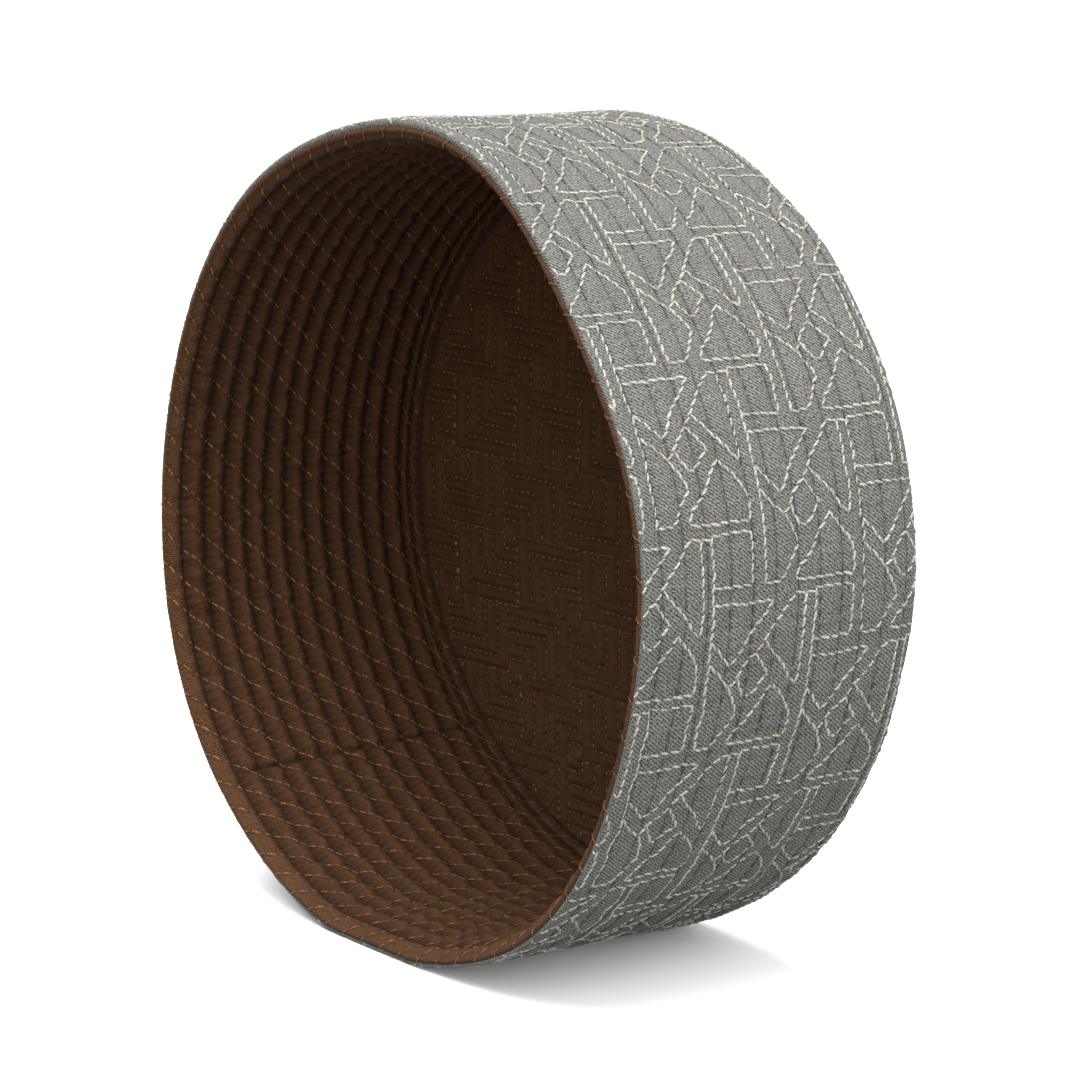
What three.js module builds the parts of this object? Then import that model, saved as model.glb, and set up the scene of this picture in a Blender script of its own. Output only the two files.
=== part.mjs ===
import * as THREE from "three";

// A stiff quilted prayer cap, lying on its side as it rests by itself.
// The opening faces -Y, the crown faces +Y, and the band rests on the floor.
// Millimetres, +Z up, origin on the floor under the middle of the cap.

// Driving dimensions
const bandRadius = 93; // outside of the band before it goes out of round
const bandHeight = 66; // straight part of the band, from the opening to the shoulder
const shoulderIn = 8; // how far the shoulder turns in to the crown seam
const shoulderRise = 7.5; // how far the shoulder rises above the straight part
const crownLift = 2; // height of the crown's centre above the opening's centre
const pressDepth = 1.2; // how far the floor presses the band flat
const pressBlend = 0.4; // softness of the edges of the pressed strip
const shellWall = 1.6; // outer cloth with its half of the wadding
const liningWall = 1.6; // lining cloth at a quilting line
const ribHeight = 0.8; // how far a quilted rib stands out between two lines
const layerGap = 0.3; // clearance between two pieces
const firstLine = 4.8; // first quilting line, measured from the opening
const linePitch = 5.65; // from one quilting line to the next
const lineCount = 11;
const bindingDepth = 2.6; // how far the bound edge reaches along the band
const bindingWidth = 2.7; // its width across the wall
const lipWall = 1; // the outer cloth where it runs up beside the bound edge
const lipStart = 1; // where the outer cloth starts, behind the bound edge
const edgeRound = 0.4; // rounding of the cut edges
const segments = 72;
const shoulderSteps = 3;

// Out-of-round shape, a row for each wave round the cap. A swing is the wave's
// height, and a high is the angle of its first crest, from +X towards +Z.
const waves = [
  { lobes: 2, openingSwing: 2.2, openingHigh: 5, crownSwing: 2.6, crownHigh: -8 },
  { lobes: 3, openingSwing: 1.2, openingHigh: -32, crownSwing: 0.5, crownHigh: 48 },
  { lobes: 4, openingSwing: 0.2, openingHigh: -32, crownSwing: 0.6, crownHigh: 2 },
  { lobes: 5, openingSwing: 0.6, openingHigh: 1, crownSwing: 0, crownHigh: 0 },
  { lobes: 6, openingSwing: 0.7, openingHigh: 11, crownSwing: 0, crownHigh: 0 },
  { lobes: 7, openingSwing: 0.3, openingHigh: 9, crownSwing: 0, crownHigh: 0 },
];

// Sizes worked out from the driving dimensions
const seamRadius = bandRadius - shoulderIn;
const totalHeight = bandHeight + shoulderRise;
const liningInset = shellWall + layerGap;
const liningFace = liningInset + liningWall;
const bindingInset = lipWall + layerGap;
const lastLine = firstLine + linePitch * (lineCount - 1);

function radians(degrees) {
  return (degrees * Math.PI) / 180;
}

function waveHeight(swing, high, lobes, angle) {
  return swing * Math.cos(lobes * (angle - radians(high)));
}

// Radial swing at an angle, from 0 at the opening to 1 at the crown
function outOfRound(angle, along) {
  return waves.reduce((sum, wave) => {
    const opening = waveHeight(wave.openingSwing, wave.openingHigh, wave.lobes, angle);
    const crown = waveHeight(wave.crownSwing, wave.crownHigh, wave.lobes, angle);
    return sum + opening * (1 - along) + crown * along;
  }, 0);
}

// The larger of two heights, with a soft bend where they meet
function softFloor(height, floor) {
  const overlap = Math.max(pressBlend - Math.abs(height - floor), 0);
  return Math.max(height, floor) + (overlap * overlap) / (4 * pressBlend);
}

// Height of the unpressed outside of the band at an angle
function freeHeight(angle, along) {
  return (bandRadius + outOfRound(angle, along)) * Math.sin(angle) + crownLift * along;
}

// Level of the floor, measured from the opening's centre
function floorLevel() {
  let lowest = 0;
  for (let degree = -120; degree <= -60; degree += 1) {
    lowest = Math.min(lowest, freeHeight(radians(degree), 0));
  }
  return lowest + pressDepth;
}

const floor = floorLevel();

// A point of an outline brought to its place round the cap. Its depth is how
// far it lies inside the outer cloth, which keeps the layers apart at the floor.
function placed(point, angle) {
  const along = THREE.MathUtils.clamp(point.y / bandHeight, 0, 1);
  const share = Math.min(point.radius / seamRadius, 1);
  const reach = point.radius + outOfRound(angle, along) * share;
  const height = reach * Math.sin(angle) + crownLift * along * share;
  return [reach * Math.cos(angle), point.y, softFloor(height, floor + point.depth)];
}

// A closed outline turned round the cap. An outline that starts and ends on
// the axis makes a disc.
function turned(outline) {
  const positions = [];
  const faces = [];
  const rings = outline.map((point) => {
    const count = point.radius === 0 ? 1 : segments;
    return Array.from({ length: count }, (unused, step) => {
      positions.push(...placed(point, (step / segments) * 2 * Math.PI));
      return positions.length / 3 - 1;
    });
  });
  rings.forEach((ring, index) => {
    const next = rings[(index + 1) % rings.length];
    for (let step = 0; step < segments; step += 1) {
      const a = ring[step % ring.length];
      const b = ring[(step + 1) % ring.length];
      const c = next[(step + 1) % next.length];
      const d = next[step % next.length];
      if (a !== b) {
        faces.push(a, c, b);
      }
      if (c !== d) {
        faces.push(a, d, c);
      }
    }
  });
  const geometry = new THREE.BufferGeometry();
  geometry.setAttribute("position", new THREE.Float32BufferAttribute(positions, 3));
  geometry.setIndex(faces);
  geometry.computeVertexNormals();
  return geometry;
}

// A point of the straight wall, so far inside the outer cloth
function wallPoint(inset, y) {
  return { radius: bandRadius - inset, y, depth: inset };
}

// The wall's turn over the shoulder at an inset, up to the crown seam
function shoulder(inset) {
  return Array.from({ length: shoulderSteps + 1 }, (unused, step) => {
    const turn = (step / shoulderSteps) * (Math.PI / 2);
    return {
      radius: seamRadius + (shoulderIn - inset) * Math.cos(turn),
      y: bandHeight + (shoulderRise - inset) * Math.sin(turn),
      depth: inset,
    };
  });
}

function bandShellOutline() {
  const outside = [
    wallPoint(lipWall - edgeRound, lipStart),
    wallPoint(edgeRound / 2, lipStart + edgeRound),
    wallPoint(0, lipStart + 3 * edgeRound),
    wallPoint(0, bandHeight / 3),
    wallPoint(0, (2 * bandHeight) / 3),
    ...shoulder(0),
  ];
  const behindBinding = bindingDepth + layerGap;
  const inside = [
    wallPoint(lipWall, lipStart),
    wallPoint(lipWall, behindBinding),
    wallPoint(shellWall, behindBinding + lipWall),
    wallPoint(shellWall, bandHeight / 3),
    wallPoint(shellWall, (2 * bandHeight) / 3),
    ...shoulder(shellWall),
  ];
  return [...outside, ...inside.reverse()];
}

// One quilted rib of the lining, between two quilting lines
function ribPoints(from, to) {
  return [
    wallPoint(liningFace, from),
    wallPoint(liningFace + ribHeight, from + (to - from) / 3),
    wallPoint(liningFace + ribHeight, to - (to - from) / 3),
  ];
}

function bandLiningOutline() {
  const start = bindingDepth + layerGap;
  const outside = [
    wallPoint(liningInset, start + lipWall),
    wallPoint(liningInset, bandHeight / 2),
    ...shoulder(liningInset),
  ];
  const inside = [wallPoint(liningFace, start + lipWall)];
  for (let line = 0; line < lineCount - 1; line += 1) {
    const from = firstLine + line * linePitch;
    inside.push(...ribPoints(from, from + linePitch));
  }
  inside.push(wallPoint(liningFace, lastLine), ...shoulder(liningFace));
  return [...outside, ...inside.reverse()];
}

// The bound edge, with a round front that faces out of the opening
function rimBindingOutline() {
  const middle = bindingInset + bindingWidth / 2;
  const steps = 6;
  const front = Array.from({ length: steps + 1 }, (unused, step) => {
    const turn = (step / steps) * Math.PI;
    const inset = middle + (bindingWidth / 2) * Math.cos(turn);
    return wallPoint(inset, (bindingWidth / 2) * (1 - Math.sin(turn)));
  });
  return [
    ...front,
    wallPoint(bindingInset, bindingDepth),
    wallPoint(bindingInset + bindingWidth, bindingDepth),
  ];
}

// A flat disc of the crown between two heights
function discOutline(low, high) {
  const radius = seamRadius - layerGap;
  return [
    { radius: 0, y: low, depth: 0 },
    { radius: radius / 2, y: low, depth: 0 },
    { radius: radius - edgeRound, y: low, depth: 0 },
    { radius, y: low + edgeRound, depth: 0 },
    { radius, y: high - edgeRound, depth: 0 },
    { radius: radius - edgeRound, y: high, depth: 0 },
    { radius: radius / 2, y: high, depth: 0 },
    { radius: 0, y: high, depth: 0 },
  ];
}

function cloth(color, roughness) {
  return new THREE.MeshStandardMaterial({ color, roughness, metalness: 0 });
}

function piece(name, outline, material) {
  const mesh = new THREE.Mesh(turned(outline), material);
  mesh.name = name;
  return mesh;
}

const greyTwill = cloth("#8b908c", 0.9);
const brownLining = cloth("#4a2f1d", 0.85);
const brownBinding = cloth("#6e4326", 0.8);

const cap = new THREE.Group();
cap.add(
  piece("band_shell", bandShellOutline(), greyTwill),
  piece("crown_top", discOutline(totalHeight - shellWall, totalHeight), greyTwill.clone()),
  piece("band_lining", bandLiningOutline(), brownLining),
  piece(
    "crown_lining",
    discOutline(totalHeight - liningFace, totalHeight - liningInset),
    brownLining.clone(),
  ),
  piece("rim_binding", rimBindingOutline(), brownBinding),
);

// The cap is moved so that the origin is the middle of its footprint
const box = new THREE.Box3().setFromObject(cap);
const middle = box.getCenter(new THREE.Vector3());
cap.position.set(-middle.x, -middle.y, -box.min.z);

const group = new THREE.Group();
group.add(cap);

export default group;
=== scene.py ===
import math

import bpy
import numpy as np
from bpy.props import FloatProperty, FloatVectorProperty, IntProperty, PointerProperty
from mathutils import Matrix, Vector
from mathutils.kdtree import KDTree


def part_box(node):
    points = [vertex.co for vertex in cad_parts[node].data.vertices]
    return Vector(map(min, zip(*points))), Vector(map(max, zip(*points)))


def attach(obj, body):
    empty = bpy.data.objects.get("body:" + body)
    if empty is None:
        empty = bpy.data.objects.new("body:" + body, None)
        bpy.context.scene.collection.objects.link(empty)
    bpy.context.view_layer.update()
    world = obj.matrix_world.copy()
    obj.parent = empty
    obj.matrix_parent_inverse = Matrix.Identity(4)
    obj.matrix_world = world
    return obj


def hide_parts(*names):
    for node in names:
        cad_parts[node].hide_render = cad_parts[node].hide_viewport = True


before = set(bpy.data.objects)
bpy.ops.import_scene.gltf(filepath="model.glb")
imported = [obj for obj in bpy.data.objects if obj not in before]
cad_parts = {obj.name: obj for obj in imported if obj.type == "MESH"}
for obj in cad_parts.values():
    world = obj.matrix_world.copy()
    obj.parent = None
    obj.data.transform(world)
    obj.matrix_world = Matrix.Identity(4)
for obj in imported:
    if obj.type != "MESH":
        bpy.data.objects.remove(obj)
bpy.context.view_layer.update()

bl_info = {
    "name": "Prayer Cap",
    "version": (1, 0, 0),
    "blender": (4, 5, 0),
    "location": "View3D > Sidebar > Prayer Cap",
    "description": "Dresses a stiff quilted prayer cap in twill, lining and embroidery",
    "category": "Add Mesh",
}

# The form of the cap in millimetres, as the frame has it. Zero is the middle of
# the opening, the crown is at +Y, and angles run from +X towards +Z.
BAND_RADIUS = 93
BAND_HEIGHT = 66
SHOULDER_IN = 8
SHOULDER_RISE = 7.5
CROWN_LIFT = 2
PRESS_DEPTH = 1.2
PRESS_BLEND = 0.4
SHELL_WALL = 1.6
LINING_INSET = 1.9
LINING_FACE = 3.5
FIRST_LINE = 4.8
LINE_PITCH = 5.65
LINE_COUNT = 13
LINING_START = 4.0  # where the lining's first rib starts
BINDING_DEPTH = 2.6
LIP_START = 0.25
FRAME_SEGMENTS = 72

# Out-of-round waves: lobes, swing and first crest at the opening, then at the crown
WAVES = (
    (2, 2.2, 5, 2.6, -8),
    (3, 1.2, -32, 0.5, 48),
    (4, 0.2, -32, 0.6, 2),
    (5, 0.6, 1, 0, 0),
    (6, 0.7, 11, 0, 0),
    (7, 0.3, 9, 0, 0),
)

MM = 0.001
TURN = 2 * math.pi
SEAM_RADIUS = BAND_RADIUS - SHOULDER_IN
TOTAL_HEIGHT = BAND_HEIGHT + SHOULDER_RISE
SHOULDER_RUN = math.pi / 4 * (SHOULDER_IN + SHOULDER_RISE)
SEAM_RUN = BAND_HEIGHT + SHOULDER_RUN
LAST_LINE = FIRST_LINE + LINE_PITCH * (LINE_COUNT - 1)
LINING_RADIUS = BAND_RADIUS - LINING_FACE
JOIN_ANGLE = math.radians(223)  # where the band's two ends are sewn together
COLUMNS = 480
BODY = "root"


def out_of_round(angle, along):
    """Radial swing at an angle, from 0 at the opening to 1 at the crown."""
    swing = 0
    for lobes, opening_swing, opening_high, crown_swing, crown_high in WAVES:
        opening = opening_swing * np.cos(lobes * (angle - math.radians(opening_high)))
        crown = crown_swing * np.cos(lobes * (angle - math.radians(crown_high)))
        swing = swing + opening * (1 - along) + crown * along
    return swing


def floor_level():
    """Level of the floor below the middle of the opening."""
    angle = np.radians(np.arange(-120, -59))
    lowest = ((BAND_RADIUS + out_of_round(angle, 0)) * np.sin(angle)).min()
    return lowest + PRESS_DEPTH


FLOOR = floor_level()


def formed(radius, y, angle, depth):
    """Points of the cap in its own millimetres, pressed flat where it rests."""
    along = np.clip(y / BAND_HEIGHT, 0, 1)
    share = np.minimum(radius / SEAM_RADIUS, 1)
    reach = radius + out_of_round(angle, along) * share
    height = reach * np.sin(angle) + CROWN_LIFT * along * share
    level = FLOOR + np.maximum(depth, 0)
    overlap = np.maximum(PRESS_BLEND - np.abs(height - level), 0)
    height = np.maximum(height, level) + overlap**2 / (4 * PRESS_BLEND)
    return np.stack([reach * np.cos(angle), y + 0 * reach, height], axis=-1)


def cap_origin():
    """Middle of the opening in the frame, in millimetres, from the shell's box."""
    low, high = (np.array(corner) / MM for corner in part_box("band_shell"))
    angle = np.arange(FRAME_SEGMENTS) / FRAME_SEGMENTS * TURN
    rows = np.array([[BAND_HEIGHT / 30], [BAND_HEIGHT]])
    across = formed(BAND_RADIUS, rows, angle, 0)[..., 0]
    middle = (across.max() + across.min()) / 2
    return np.array([(low[0] + high[0]) / 2 - middle, high[1] - TOTAL_HEIGHT, low[2] - FLOOR])


ORIGIN = cap_origin()


def size(name):
    """A length that the user may change, in millimetres."""
    scene = bpy.context.scene
    groups = (scene.cap_cloth, scene.cap_lining, scene.cap_threads)
    return next(getattr(group, name) for group in groups if hasattr(group, name)) / MM


def dent(distance, width):
    """A dent from 1 on its line to 0 beside it."""
    return np.exp(-((distance / width) ** 2))


def wrapped(value, period=TURN):
    """A value brought to within half a period of zero."""
    return (value + period / 2) % period - period / 2


# The folded edge of the outer cloth: its least radius, and how much fuller it is at the top
FOLD_RADIUS = 0.4
FOLD_EXTRA = 0.45
FOLD_TOP = math.radians(85)
FOLD_SPREAD = math.radians(55)


def fold_round(angle):
    """Radius of the outer cloth's folded edge."""
    return FOLD_RADIUS + FOLD_EXTRA * dent(wrapped(angle - FOLD_TOP), FOLD_SPREAD)


def wall(run, angle, lift):
    """Points at a run along the wall from the opening, so far outside the outer cloth.

    Below the fold's radius the run goes on round the folded edge.
    """
    turn = np.clip((run - BAND_HEIGHT) / SHOULDER_RUN, 0, 1) * math.pi / 2
    beyond = np.maximum(run - SEAM_RUN, 0)
    fold = fold_round(angle)
    bend = np.clip(1 - run / fold, 0, math.pi)
    radius = SEAM_RADIUS + (SHOULDER_IN + lift) * np.cos(turn) - beyond
    radius = radius - (fold + lift) * (1 - np.cos(bend))
    y = np.clip(run, fold, BAND_HEIGHT) + (SHOULDER_RISE + lift) * np.sin(turn)
    y = y - (fold - LIP_START + lift) * np.sin(bend)
    return formed(radius, y, angle, fold * (1 - np.cos(bend)) - lift)


def crown(x, z, lift):
    """Points of the flat crown, so far outside the outer cloth."""
    return formed(np.hypot(x, z), TOTAL_HEIGHT + lift, np.arctan2(z, x), 0)


def uneven_waves(seed, count, lobes, coarsest, finest):
    """A seeded table of waves that run at a slant round the wall."""
    draw = np.random.default_rng(seed)
    return list(
        zip(
            draw.integers(lobes[0], lobes[1], count),
            TURN / draw.uniform(finest, coarsest, count) * draw.choice([-1, 1], count),
            draw.uniform(0, TURN, count),
        )
    )


def uneven(angle, run, waves):
    """The waves added up, about -1 to 1."""
    total = sum(np.sin(lobes * angle + rate * run + phase) for lobes, rate, phase in waves)
    return total / math.sqrt(2 * len(waves))


# For each: seed, count, least and most waves round the cap, longest and shortest wave
CLOTH_WAVES = uneven_waves(11, 10, (6, 26), 90, 30)
WADDING_WAVES = uneven_waves(23, 16, (50, 190), 40, 9)
THREAD_WAVES = uneven_waves(31, 14, (25, 90), 30, 9)


def line_distance(run):
    """Distance to the nearest quilting line or to the crown seam."""
    line = np.clip(np.round((run - FIRST_LINE) / LINE_PITCH), 0, LINE_COUNT - 1)
    distance = np.abs(run - FIRST_LINE - line * LINE_PITCH)
    return np.minimum(distance, np.abs(run - SEAM_RUN))


def join_distance(angle, radius=BAND_RADIUS):
    """Distance round the wall to the line where the band's ends are joined."""
    return np.abs(wrapped(angle - JOIN_ANGLE)) * radius


JOIN_DEPTH = 0.4
JOIN_WIDTH = 0.6


def band_relief(run, angle):
    """Height of the outer cloth over the plain wall."""
    distance = line_distance(run)
    puff = 1 - (1 - np.minimum(distance / (LINE_PITCH / 2), 1)) ** 2
    relief = size("puff_height") * puff
    relief = relief - size("furrow_depth") * dent(distance, size("furrow_width"))
    relief = relief - JOIN_DEPTH * dent(join_distance(angle), JOIN_WIDTH)
    relief = relief + size("waviness") * uneven(angle, run, CLOTH_WAVES)
    return relief * np.clip(run / FIRST_LINE, 0, 1)


def row_pitch():
    """Distance round the lining from one slanted row of stitches to the next."""
    return TURN * LINING_RADIUS / bpy.context.scene.cap_lining.row_count


def row_distance(run, angle):
    """Distance round the lining to the nearest slanted row of stitches."""
    arc = angle * LINING_RADIUS - bpy.context.scene.cap_lining.row_slope * run
    return np.abs(wrapped(arc, row_pitch()))


def lining_run(run):
    """A run on the lining, whose first rib is wider, as the outer cloth's run."""
    second = FIRST_LINE + LINE_PITCH
    stretched = second - (second - run) * LINE_PITCH / (second - LINING_START)
    return np.where(run < second, stretched, run)


def lowness(angle, level, rate):
    """From 0 on the upper part of the cap to 1 at the bottom."""
    return np.clip(level - rate * np.sin(angle), 0, 1)


WADDING_SWING = 0.3  # unevenness of the wadding, as a share of a rib
PINCH_WIDTH = 1.8  # half width of the pinch beside a row
TOP_TIGHTNESS = 0.3  # how tight the rows are at the top, as a share of the bottom
LOW_START = 0.3  # where the rows begin to tighten towards the bottom, and how fast
LOW_RATE = 1.2
LINING_JOIN_SHARE = 0.6  # share of a rib that the lining's join takes away
LINING_JOIN_WIDTH = 0.7


def rib_relief(run, angle):
    """Height of the lining's ribs over the quilting lines."""
    rib = np.clip((lining_run(run) - FIRST_LINE) / LINE_PITCH, 0, LINE_COUNT - 1)
    last = np.clip((run - LAST_LINE) / (SEAM_RUN - LAST_LINE), 0, 1)
    across = np.where(run >= LAST_LINE, last, rib - np.floor(rib))
    wadding = 1 + WADDING_SWING * uneven(angle, run, WADDING_WAVES)
    tight = TOP_TIGHTNESS + (1 - TOP_TIGHTNESS) * lowness(angle, LOW_START, LOW_RATE)
    near_row = dent(row_distance(run, angle), PINCH_WIDTH)
    pinch = 1 - bpy.context.scene.cap_lining.row_pinch * tight * near_row
    relief = size("rib_height") * np.sin(math.pi * across) * wadding * pinch
    join = dent(join_distance(angle, LINING_RADIUS), LINING_JOIN_WIDTH)
    return relief * (1 - LINING_JOIN_SHARE * join)


# The crown is quilted in blocks of nested corners. Each row of blocks holds its shift
# along X, and the side of the corner, +1 or -1 along X and along Z, in an even and an
# odd block.
BLOCK_WIDTH = 24.6
BLOCK_HEIGHT = 17.5
CORNER_PITCH = (4.92, 3.5)
CORNER_LINES = 5
BLOCK_START = (-74, 8.6)
BLOCK_SHIFTS = (0, 4.5)
BLOCK_CORNERS = (((1, -1), (1, 1)), ((-1, -1), (-1, 1)))


def block_of(x, z):
    """The place in a block, measured from its corner along X and along Z."""
    row = np.floor((BLOCK_START[1] - z) / BLOCK_HEIGHT).astype(int)
    left = BLOCK_START[0] + np.array(BLOCK_SHIFTS)[row % 2]
    column = np.floor((x - left) / BLOCK_WIDTH).astype(int)
    u = x - left - column * BLOCK_WIDTH
    v = BLOCK_START[1] - z - row * BLOCK_HEIGHT
    corners = np.array(BLOCK_CORNERS)[row % 2, column % 2]
    u = np.where(corners[..., 0] > 0, BLOCK_WIDTH - u, u)
    v = np.where(corners[..., 1] > 0, v, BLOCK_HEIGHT - v)
    return u, v


def corner_distance(x, z):
    """Distance to the nearest line of the crown's nested corners."""
    u, v = block_of(x, z)
    steps = np.minimum(u / CORNER_PITCH[0], v / CORNER_PITCH[1])
    pitch = np.where(u / CORNER_PITCH[0] < v / CORNER_PITCH[1], *CORNER_PITCH)
    return np.abs(steps - np.clip(np.round(steps), 0, CORNER_LINES - 1)) * pitch


# Height of the crown's padding, and how softly it meets its lines
OUTER_PADDING = (0.3, 0.6)
INNER_PADDING = (0.75, 1.2)


def crown_relief(x, z, padding):
    """Padding between the crown's quilting lines, level at the seam."""
    height, width = padding
    edge = np.clip((SEAM_RADIUS - np.hypot(x, z)) / CORNER_PITCH[1], 0, 1)
    return height * (1 - dent(corner_distance(x, z), width)) * edge


# Colours and materials


def linear(hex_colour):
    """An sRGB hex colour as linear red, green, blue and alpha."""
    parts = [int(hex_colour[i : i + 2], 16) / 255 for i in (1, 3, 5)]
    return tuple(p / 12.92 if p <= 0.04045 else ((p + 0.055) / 1.055) ** 2.4 for p in parts) + (1,)


def colour_pair(kind):
    """The dark and the light colour of a cloth or thread."""
    colours = bpy.context.scene.cap_colours
    return [(*getattr(colours, f"{kind}_{shade}"), 1) for shade in ("dark", "light")]


def add_node(tree, kind, inputs=None, settings=None):
    """Adds a shader node of a kind, sets its fields, and sets or links its inputs."""
    made = tree.nodes.new(f"ShaderNode{kind}")
    for field, value in (settings or {}).items():
        setattr(made, field, value)
    for key, value in (inputs or {}).items():
        into = next(s for s in made.inputs if key in (s.identifier, s.name) and s.enabled)
        if isinstance(value, tuple) and isinstance(value[0], bpy.types.Node):
            source = next(s for s in value[0].outputs if value[1] in (s.identifier, s.name))
            tree.links.new(source, into)
        else:
            into.default_value = value
    return made


def new_material(name):
    """An empty node material with its node tree."""
    material = bpy.data.materials.new(name)
    material.use_nodes = True
    material.node_tree.nodes.clear()
    return material, material.node_tree


def finished(tree, colour, bump, sockets):
    """Joins colour and bump to the shader and the output."""
    inputs = {"Base Color": colour, "Normal": (bump, "Normal"), **sockets}
    shader = add_node(tree, "BsdfPrincipled", inputs)
    add_node(tree, "OutputMaterial", {"Surface": (shader, "BSDF")})


def camera_sees(tree, seen, lit, output):
    """Shows the camera one shader, and lights the cap by the other."""
    path = add_node(tree, "LightPath")
    inputs = {"Fac": (path, "Is Camera Ray"), "Shader": lit, "Shader_001": seen}
    mixed = add_node(tree, "MixShader", inputs)
    add_node(tree, output, {"Surface": (mixed, "Shader")})


def wave_scale(pitch):
    """Wave Texture scale for bands that are a pitch in metres apart."""
    return TURN / 20 / pitch


def shaded(tree, factor, dark, light, low, high):
    """A colour between two by a factor's range."""
    share = add_node(tree, "MapRange", {"Value": factor, "From Min": low, "From Max": high})
    inputs = {"Factor": (share, "Result"), "A_Color": dark, "B_Color": light}
    return add_node(tree, "Mix", inputs, {"data_type": "RGBA"}), "Result_Color"


def multiplied(tree, colour, pattern, low, high, start=0.0, end=1.0):
    """A colour times a pattern, which is brought from start and end to low and high."""
    values = {"From Min": start, "From Max": end, "To Min": low, "To Max": high}
    share = add_node(tree, "MapRange", {"Value": pattern, **values})
    inputs = {"Factor": 1.0, "A_Color": colour, "B_Color": (share, "Result")}
    settings = {"data_type": "RGBA", "blend_type": "MULTIPLY"}
    return add_node(tree, "Mix", inputs, settings), "Result_Color"


def twill(tree, place, pitch, slant):
    """Twill lines and the broken yarn in them, from the cloth's own coordinates."""
    turned = add_node(tree, "Mapping", {"Vector": place, "Rotation": (0, 0, slant)})
    broken = {"Distortion": 3.0, "Detail": 2.0, "Detail Scale": 2.5, "Detail Roughness": 0.6}
    inputs = {"Vector": (turned, "Vector"), "Scale": wave_scale(pitch), **broken}
    settings = {"wave_type": "BANDS", "bands_direction": "X", "wave_profile": "SIN"}
    lines = add_node(tree, "TexWave", inputs, settings)
    # A tuft of yarn is half as long as the lines are apart, and nearly as wide
    stretch = (1 / (0.5 * pitch), 1 / (0.9 * pitch), 1)
    yarns = add_node(tree, "Mapping", {"Vector": (turned, "Vector"), "Scale": stretch})
    inputs = {"Vector": (yarns, "Vector"), "Scale": 1.0, "Detail": 1.0, "Roughness": 0.6}
    yarn = add_node(tree, "TexNoise", inputs)
    inputs = {"Factor": 0.76, "A_Float": (lines, "Fac"), "B_Float": (yarn, "Fac")}
    return add_node(tree, "Mix", inputs, {"data_type": "FLOAT"}), "Result_Float"


def nips(tree, place, mark, pitch, quiet):
    """Where each stitch nips the cloth: a mesh mark times a wave at the stitches' pitch.

    quiet is what is left of the mark between two stitches.
    """
    marked = add_node(tree, "Attribute", {}, {"attribute_name": mark})
    broken = {"Distortion": 4.0, "Detail": 2.0, "Detail Scale": 0.8}
    inputs = {"Vector": place, "Scale": wave_scale(pitch), **broken}
    settings = {"wave_type": "BANDS", "bands_direction": "Y", "wave_profile": "SIN"}
    wave = add_node(tree, "TexWave", inputs, settings)
    inputs = {"Value": (wave, "Fac"), "From Min": 0.2, "To Min": quiet}
    share = add_node(tree, "MapRange", inputs)
    inputs = {"Value": (marked, "Fac"), "Value_001": (share, "Result")}
    return add_node(tree, "Math", inputs, {"operation": "MULTIPLY"}), "Value"


# Size of a cloth's patches and of its small rumples, and the reach and shades of patterns
PATCH_SIZE = 25 / 3 * MM
RUMPLE_SIZE = 10 / 3 * MM
WEAVE_RANGE = (0.32, 0.68)
PATCH_SHADES = (0.9, 1.07)
PATCH_RANGE = (0.3, 0.7)
PLY_SHADES = (0.72, 1.06)


def cloth_material(name, colours, weave, nip, crease, rumple_height, sockets):
    """A woven twill with its lines, yarn, creases darkened by painted shade, rumples and slight
    unevenness.

    weave holds the pitch of its lines, their slant in degrees and their height, and
    nip the pitch and height of the nips of its quilting and what is left of them
    between two stitches. The amount after nip is how much painted shade darkens it
    in its creases and at the nips.
    """
    material, tree = new_material(name)
    place = add_node(tree, "UVMap", {}, {"uv_map": "cloth"}), "UV"
    pitch, slant, line_height = weave
    lines = twill(tree, place, pitch * MM, math.radians(slant))
    nip_pitch, nip_height, quiet = nip
    inputs = {"Vector": place, "Scale": 1 / PATCH_SIZE, "Detail": 3.0}
    patches = add_node(tree, "TexNoise", inputs), "Fac"
    inputs = {"Vector": place, "Scale": 1 / RUMPLE_SIZE, "Detail": 4.0, "Roughness": 0.6}
    rumple = add_node(tree, "TexNoise", inputs), "Fac"
    colour = shaded(tree, lines, *colour_pair(colours), *WEAVE_RANGE)
    colour = multiplied(tree, colour, patches, *PATCH_SHADES, *PATCH_RANGE)
    # Painted shade: the cloth is darker in its creases, most at the stitches' nips
    depth = nips(tree, place, "crease", nip_pitch * MM, quiet)
    colour = multiplied(tree, colour, depth, 1.0, 1 - crease)
    pull = nips(tree, place, "pull", nip_pitch * MM, quiet)
    inputs = {"Height": pull, "Strength": 1.0, "Distance": nip_height * MM}
    bump = add_node(tree, "Bump", inputs, {"invert": True})
    for height, distance in ((rumple, rumple_height), (lines, line_height)):
        inputs = {"Height": height, "Strength": 1.0, "Distance": distance * MM}
        bump = add_node(tree, "Bump", {**inputs, "Normal": (bump, "Normal")})
    finished(tree, colour, bump, sockets)
    return material


def thread_material(name, colours, twist, sockets):
    """A two-ply thread with a painted sheen: each stitch is brighter or duller at random, and shows
    the twist.
    """
    material, tree = new_material(name)
    place = add_node(tree, "UVMap", {}, {"uv_map": "cloth"}), "UV"
    tone = add_node(tree, "Attribute", {}, {"attribute_name": "tone"}), "Fac"
    inputs = {"Vector": place, "Scale": wave_scale(twist * MM), "Distortion": 0.6}
    settings = {"wave_type": "BANDS", "bands_direction": "DIAGONAL"}
    plies = add_node(tree, "TexWave", inputs, settings), "Fac"
    # Painted sheen: each stitch's colour lies at random between the dull and the bright
    colour = shaded(tree, tone, *colour_pair(colours), 0.0, 1.0)
    colour = multiplied(tree, colour, plies, *PLY_SHADES)
    inputs = {"Height": plies, "Strength": 0.8, "Distance": 0.12 * MM}
    finished(tree, colour, add_node(tree, "Bump", inputs), sockets)
    return material


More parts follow.
